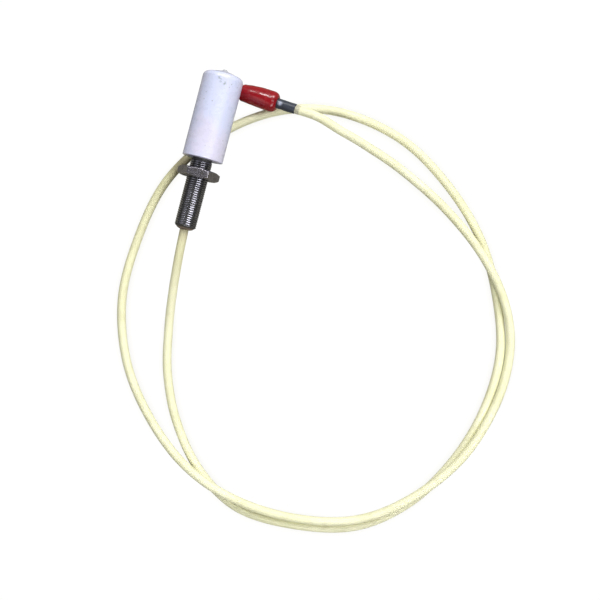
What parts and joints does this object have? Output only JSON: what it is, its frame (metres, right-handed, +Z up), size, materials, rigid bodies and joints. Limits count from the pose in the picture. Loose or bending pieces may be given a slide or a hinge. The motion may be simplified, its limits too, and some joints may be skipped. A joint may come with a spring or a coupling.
{
  "type": "ignition electrode",
  "caption": "Ignition electrode with a glazed ceramic head on a threaded sleeve with lock nut, and a braided high-tension lead ending in a socket under a red slide-back boot.",
  "frame": {"origin": "on the electrode axis, at the nut end of the free thread of the sleeve", "axes": "+Y along the electrode axis towards the ceramic tip, +Z up from the table that the lead lies on, +X to the right, towards the coiled lead"},
  "size_m": [0.1861, 0.1974, 0.0228],
  "materials": {
    "glazed_ceramic": "gloss",
    "nickelled_steel": "satin",
    "dark_steel": "satin",
    "heat_alloy": "matt",
    "brass": "satin",
    "copper": "satin",
    "cement": "matt",
    "white_plastic": "matt",
    "brown_seal": "matt",
    "braid": "matt",
    "white_thread": "matt",
    "silicone": "satin",
    "grey_sleeve": "satin",
    "red_boot": "gloss"
  },
  "bodies": {
    "electrode": {"ceramic_insulator": "glazed_ceramic", "spark_rod": "heat_alloy", "rod_cement": "cement", "contact_joint": "brass", "inner_tube": "white_plastic", "threaded_sleeve": "dark_steel", "sleeve_cement": "cement", "rear_bush": "brown_seal", "lead_jacket": "braid", "lead_core_rear": "silicone", "conductor_rear": "copper", "braid_band": "white_thread", "ferrule": "grey_sleeve", "lead_core_front": "silicone", "conductor_front": "copper", "crimp_sleeve": "copper", "terminal": "brass", "terminal_spring": "nickelled_steel"},
    "nut": {"lock_nut": "nickelled_steel"},
    "boot": {"boot": "red_boot"}
  },
  "joints": [
    {"name": "nut_travel", "type": "slide", "parent": "electrode", "child": "nut", "axis": [0, 1, 0], "range_m": [-0.0221, 0.0047]},
    {"name": "boot_slide", "type": "slide", "parent": "electrode", "child": "boot", "axis": [0.9741, -0.0887, 0.2079], "range_m": [0, 0.0085]}
  ]
}
